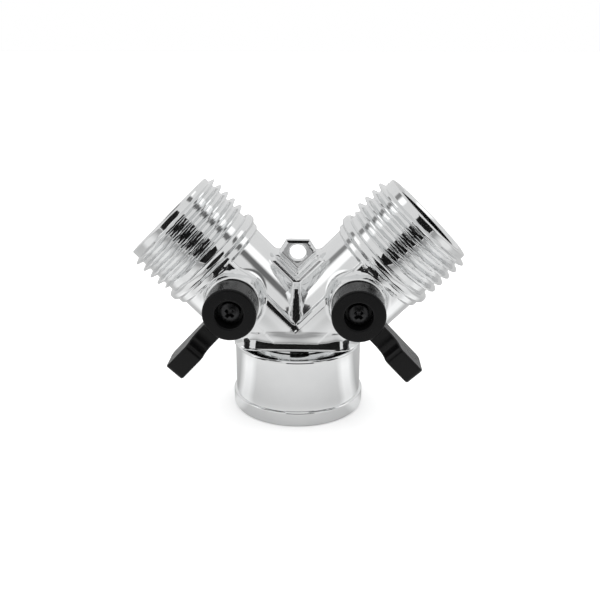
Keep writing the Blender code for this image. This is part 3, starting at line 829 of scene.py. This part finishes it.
def metal_material(name, low, high, roughness, scale, stretch=None, bump=0.000003):
    nodes = Nodes(name)
    tone = nodes.noise(scale, detail=3.0, stretch=stretch)
    return nodes.set(
        Metallic=1.0,
        Base_Color=nodes.mix(tone, low, high),
        Roughness=nodes.spread(tone, roughness[0], roughness[1]),
        Normal=nodes.bump(tone, bump),
    )


def soft_material(name, low, high, roughness, scale, bump):
    nodes = Nodes(name)
    tone = nodes.noise(scale, detail=3.0)
    return nodes.set(
        Base_Color=nodes.mix(tone, low, high),
        Roughness=nodes.spread(tone, roughness[0], roughness[1]),
        Normal=nodes.bump(tone, bump),
    )


def make_materials():
    return {
        "chrome": chrome_material(),
        "black_plastic": plastic_material(),
        "black_steel": metal_material(
            "black_oxide", (0.02, 0.02, 0.021), (0.07, 0.07, 0.072), (0.22, 0.38), 1800.0
        ),
        "brass": metal_material(
            "turned_brass", (0.62, 0.42, 0.17), (0.74, 0.53, 0.25), (0.16, 0.3), 900.0, (1, 1, 9)
        ),
        "brass_ball": metal_material(
            "plated_ball", (0.66, 0.66, 0.66), (0.76, 0.76, 0.76), (0.05, 0.1), 700.0
        ),
        "spring_steel": metal_material(
            "spring_steel", (0.4, 0.4, 0.41), (0.56, 0.56, 0.56), (0.2, 0.35), 1200.0
        ),
        "rubber": soft_material(
            "black_rubber", (0.012, 0.012, 0.012), (0.03, 0.03, 0.03), (0.6, 0.8), 1500.0, 0.00002
        ),
        "ptfe": soft_material(
            "white_ptfe", (0.74, 0.74, 0.71), (0.82, 0.82, 0.8), (0.4, 0.55), 900.0, 0.000006
        ),
    }


MATERIALS = make_materials()


def finish_piece(obj, slot, body, *nodes):
    obj.data.materials.clear()
    obj.data.materials.append(MATERIALS[slot])
    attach(obj, body)
    if nodes:
        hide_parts(*nodes)
    return obj


# ---------------------------------------------------------------- pieces


def add_body():
    casting = surface_object("body_casting", body_distance, BODY_BOX, BODY_STEP)
    finish_piece(casting, "chrome", "body", "valve_body")


def outlet_profile():
    """The outlet beyond the collar: outer thread, end face and stepped bore, as one closed loop."""
    end = ARM_LENGTH
    low = end - THREAD_START - THREAD_TURNS * THREAD_PITCH
    profile = [(ARM_RADIUS - OUTLET_JOINT_OVERLAP, OUTLET_JOINT)]
    profile += [(MALE_ROOT, OUTLET_ROOT_START), (MALE_ROOT, low - OUTLET_RUN_OUT)]
    profile += thread_rows(low, THREAD_TURNS, MALE_ROOT, MALE_CREST, MALE_FADE)
    profile += [(MALE_ROOT, end - OUTLET_FACE_GAP)]
    profile += arc((MALE_ROOT - OUTLET_ROUND, end - OUTLET_ROUND), OUTLET_ROUND, 0, 90)
    profile += [(OUTLET_BORE + out, end - inside) for out, inside in OUTLET_MOUTH]
    profile += straight(profile[-1], (OUTLET_BORE, CHAMBER_END), 6)
    profile += [(OUTLET_BORE, CHAMBER_END), (CHAMBER_RADIUS, CHAMBER_END), (CHAMBER_RADIUS, OUTLET_JOINT)]
    return profile


def add_outlets():
    for name, side in SIDES.items():
        outlet = revolved(f"{name}_outlet_thread", outlet_profile(), arm_matrix(side))
        finish_piece(outlet, "chrome", "body", "valve_body")


def nut_inside():
    """The nut's thread, the room for its washer and its neck, from the base up."""
    lead_width, lead_height = NUT_LEAD
    thread_low, thread_high = NUT_THREAD
    cavity_low, cavity_high = NUT_CAVITY
    turns = (thread_high - thread_low) / THREAD_PITCH
    profile = [(FEMALE_ROOT + lead_width, 0.0), (FEMALE_ROOT, lead_height)]
    profile += thread_rows(thread_low, turns, FEMALE_ROOT, FEMALE_CREST, NUT_THREAD_FADE)
    profile += [(NUT_CAVITY_RADIUS, cavity_low), (NUT_CAVITY_RADIUS, cavity_high)]
    profile += [(NUT_NECK_BORE, cavity_high), (NUT_NECK_BORE, NUT_TOP - NUT_NECK_CHAMFER)]
    return profile


def nut_outside():
    """The nut's flat top, its rounded shoulder, its wall and its lip, from the neck down."""
    edge = NUT_RADIUS - NUT_SHOULDER
    wall_top = NUT_TOP - NUT_SHOULDER
    profile = [(NUT_NECK_BORE + NUT_NECK_CHAMFER, NUT_TOP)]
    profile += straight(profile[-1], (edge, NUT_TOP), 8)
    profile += arc((edge, wall_top), NUT_SHOULDER, 90, 0, 12)
    profile += straight((NUT_RADIUS, wall_top), (NUT_RADIUS, LIP_TOP + LIP_FILLET_START), 8)
    profile += [(NUT_RADIUS + out, LIP_TOP + up) for out, up in LIP_FILLET]
    profile += arc((LIP_RADIUS - LIP_TOP_ROUND, LIP_TOP - LIP_TOP_ROUND), LIP_TOP_ROUND, 90, 0, 8)
    profile += [(LIP_RADIUS, LIP_MIDDLE)]
    profile += arc((LIP_RADIUS - LIP_BOTTOM_ROUND, LIP_BOTTOM_ROUND), LIP_BOTTOM_ROUND, 0, -90, 6)
    return profile


def add_nut():
    nut = revolved("nut_shell", nut_inside() + nut_outside())
    finish_piece(nut, "chrome", "inlet_nut", "swivel_nut")


def ring_profile(inner, outer, low, high, rounding):
    """A flat ring with rounded edges."""
    profile = []
    for radius, height, start in (
        (outer - rounding, low + rounding, -90),
        (outer - rounding, high - rounding, 0),
        (inner + rounding, high - rounding, 90),
        (inner + rounding, low + rounding, 180),
    ):
        profile += arc((radius, height), rounding, start, start + 90, 4)
    return profile


def add_rings():
    washer = revolved("hose_washer", ring_profile(*WASHER_RADII, *WASHER, WASHER_ROUND))
    finish_piece(washer, "rubber", "inlet_nut", "inlet_washer")
    for name, side in SIDES.items():
        for place, turn in (("inlet", math.pi), ("outlet", 0.0)):
            matrix = valve_matrix(side) @ Matrix.Rotation(turn, 4, "X")
            seat = revolved(f"{name}_{place}_ball_seat", SEAT_PROFILE, matrix, segments=SEAT_SEGMENTS)
            finish_piece(seat, "ptfe", "body", f"{name}_{place}_seat")
        for place, height in O_RINGS.items():
            profile = arc((O_RING_RADIUS, 0.0), O_RING_SECTION, 0, 330, 11)
            matrix = lever_matrix(side) @ Matrix.Translation((0, 0, height))
            ring = revolved(f"{name}_o_ring_{place}", profile, matrix, O_RING_SEGMENTS, O_RING_SHARP)
            finish_piece(ring, "rubber", f"{name}_valve", f"{name}_stem_o_ring_{place}")


def add_levers():
    for name, side in SIDES.items():
        matrix = lever_matrix(side)
        lever = surface_object(f"{name}_handle", lever_distance, LEVER_BOX, LEVER_STEP, matrix)
        finish_piece(lever, "black_plastic", f"{name}_valve", f"{name}_lever")
        screw = surface_object(f"{name}_screw", screw_distance, SCREW_BOX, SCREW_STEP, matrix)
        finish_piece(screw, "black_steel", f"{name}_valve", f"{name}_lever_screw")


def dress_cad_node(name, slot):
    """Gives a CAD mesh that stays in the visual model its material."""
    materials = frame["nodes"][name].data.materials
    materials.clear()
    materials.append(MATERIALS[slot])


def add_valves():
    for name, side in SIDES.items():
        ball_matrix = lever_matrix(side) @ Matrix.Rotation(math.radians(90), 4, "Y")
        ball_matrix = ball_matrix @ Matrix.Rotation(math.pi, 4, "Z")
        ball = surface_object(f"{name}_valve_ball", ball_distance, BALL_BOX, BALL_STEP, ball_matrix)
        finish_piece(ball, "brass_ball", f"{name}_valve", f"{name}_ball")
        matrix = valve_matrix(side)
        ring = surface_object(f"{name}_key_ring", retainer_distance, RETAINER_BOX, RETAINER_STEP, matrix)
        finish_piece(ring, "brass", "body", f"{name}_seat_retainer")
        dress_cad_node(f"{name}_stem", "brass")
    dress_cad_node("retaining_ring", "spring_steel")


# ---------------------------------------------------------------- setting


def add_camera():
    data = bpy.data.cameras.new("camera")
    data.lens = CAMERA_LENS
    data.sensor_width = SENSOR_WIDTH
    data.clip_start, data.clip_end = CAMERA_CLIP
    camera = bpy.data.objects.new("camera", data)
    bpy.context.scene.collection.objects.link(camera)
    target = Vector(CAMERA_TARGET)
    away = Vector(
        (
            math.sin(CAMERA_AZIMUTH) * math.cos(CAMERA_ELEVATION),
            -math.cos(CAMERA_AZIMUTH) * math.cos(CAMERA_ELEVATION),
            math.sin(CAMERA_ELEVATION),
        )
    )
    camera.location = (target + away * CAMERA_DISTANCE) * MM + Vector((0, AXIS_Y, 0))
    camera.rotation_euler = (-away).to_track_quat("-Z", "Y").to_euler()
    bpy.context.scene.camera = camera


class World(Nodes):
    """The surroundings as a function of direction."""

    def __init__(self):
        self.world = bpy.data.worlds.new("studio")
        self.world.use_nodes = True
        self.tree = self.world.node_tree
        self.shader = self.tree.nodes["Background"]
        self.place = self.add("ShaderNodeTexCoord").outputs["Generated"]
        parts = self.add("ShaderNodeSeparateXYZ")
        self.link(self.place, parts.inputs["Vector"])
        backwards = self.math("MULTIPLY", parts.outputs["Y"], -1.0)
        self.azimuth = self.math("DEGREES", self.math("ARCTAN2", parts.outputs["X"], backwards))
        self.elevation = self.math("DEGREES", self.math("ARCSINE", parts.outputs["Z"]))

    def window(self, angle, low, high, soft=3.0):
        """One between two angles, falling to nothing outside them."""
        opens = self.spread(angle, 0.0, 1.0, low - soft, low + soft)
        closes = self.spread(angle, 1.0, 0.0, high - soft, high + soft)
        return self.math("MULTIPLY", opens, closes)


def set_world():
    world = World()
    level = TENT
    for azimuth, half_width, low, high, value in SEAMS + PANELS:
        sideways = world.window(world.azimuth, azimuth - half_width, azimuth + half_width)
        upright = world.window(world.elevation, low, high)
        level = world.blend(world.math("MULTIPLY", sideways, upright), level, value)
    rays = world.add("ShaderNodeLightPath").outputs
    level = world.blend(rays["Is Glossy Ray"], OUTSIDE, level)
    level = world.blend(rays["Is Camera Ray"], level, 1.0)
    world.link(level, world.shader.inputs["Strength"])
    world.shader.inputs["Color"].default_value = (1, 1, 1, 1)
    bpy.context.scene.world = world.world
    bpy.context.scene.view_settings.view_transform = "Standard"


def add_sheet(name, corners, material):
    mesh = bpy.data.meshes.new(name)
    mesh.from_pydata(corners, [], [(0, 1, 2, 3)])
    mesh.materials.append(material)
    sheet = bpy.data.objects.new(name, mesh)
    bpy.context.scene.collection.objects.link(sheet)
    return sheet


def add_floor():
    """A pale floor for the camera. In reflections its tone changes with distance and direction: painted shade
    in front, painted light at the sides and a painted shadow of the object behind.
    """
    nodes = Nodes("pale_floor")
    rays = nodes.add("ShaderNodeLightPath").outputs
    parts = nodes.add("ShaderNodeSeparateXYZ")
    nodes.link(nodes.place, parts.inputs["Vector"])
    forwards = nodes.math("MULTIPLY", parts.outputs["Y"], -1.0)
    azimuth = nodes.math("ABSOLUTE", nodes.math("ARCTAN2", parts.outputs["X"], forwards))
    sideways = nodes.math("ABSOLUTE", parts.outputs["X"])
    # Painted shade in front, deeper further out.
    front = nodes.spread(forwards, FLOOR_PAINTED_SHADE_NEAR, FLOOR_PAINTED_SHADE_FAR, *FLOOR_FADE)
    # Painted light at the sides, fading further out.
    side = nodes.spread(sideways, FLOOR_PAINTED_LIGHT_NEAR, FLOOR_PAINTED_LIGHT_FAR, *FLOOR_SIDE_FADE)
    tone = nodes.blend(nodes.spread(azimuth, 0.0, 1.0, *FLOOR_SIDE_STARTS), front, side)
    # Painted shadow of the object behind it.
    tone = nodes.blend(nodes.spread(azimuth, 0.0, 1.0, *FLOOR_SIDE_ENDS), tone, FLOOR_PAINTED_SHADOW_BEHIND)
    # The camera sees the even pale floor; every other ray sees the painted tones.
    tone = nodes.math("MAXIMUM", tone, nodes.math("MULTIPLY", rays["Is Camera Ray"], FLOOR_SEEN))
    nodes.set(
        Base_Color=tone,
        Roughness=0.6,
        Specular_IOR_Level=0.2,
    )
    reach = FLOOR_REACH
    corners = [(-reach, OPENING_Y, 0), (reach, OPENING_Y, 0), (reach, reach, 0), (-reach, reach, 0)]
    floor = add_sheet("floor", corners, nodes.material)
    floor.location.z = -FLOOR_DROP


def add_opening():
    """The dark opening that the object is looked at through. Only reflections see it."""
    material = bpy.data.materials.new("opening")
    material.use_nodes = True
    tree = material.node_tree
    glow = tree.nodes.new("ShaderNodeEmission")
    glow.inputs["Color"].default_value = (OPENING, OPENING, OPENING, 1)
    tree.links.new(glow.outputs["Emission"], tree.nodes["Material Output"].inputs["Surface"])
    (left, right), (low, high) = OPENING_X, OPENING_Z
    outline = ((left, low), (right, low), (right, high), (left, high))
    corners = [(x, OPENING_Y, z) for x, z in outline]
    opening = add_sheet("opening", corners, material)
    opening.visible_camera = False
    opening.visible_diffuse = False
    opening.visible_shadow = False


def main():
    add_body()
    add_outlets()
    add_nut()
    add_rings()
    add_levers()
    add_valves()
    add_camera()
    add_floor()
    add_opening()
    set_world()


main()
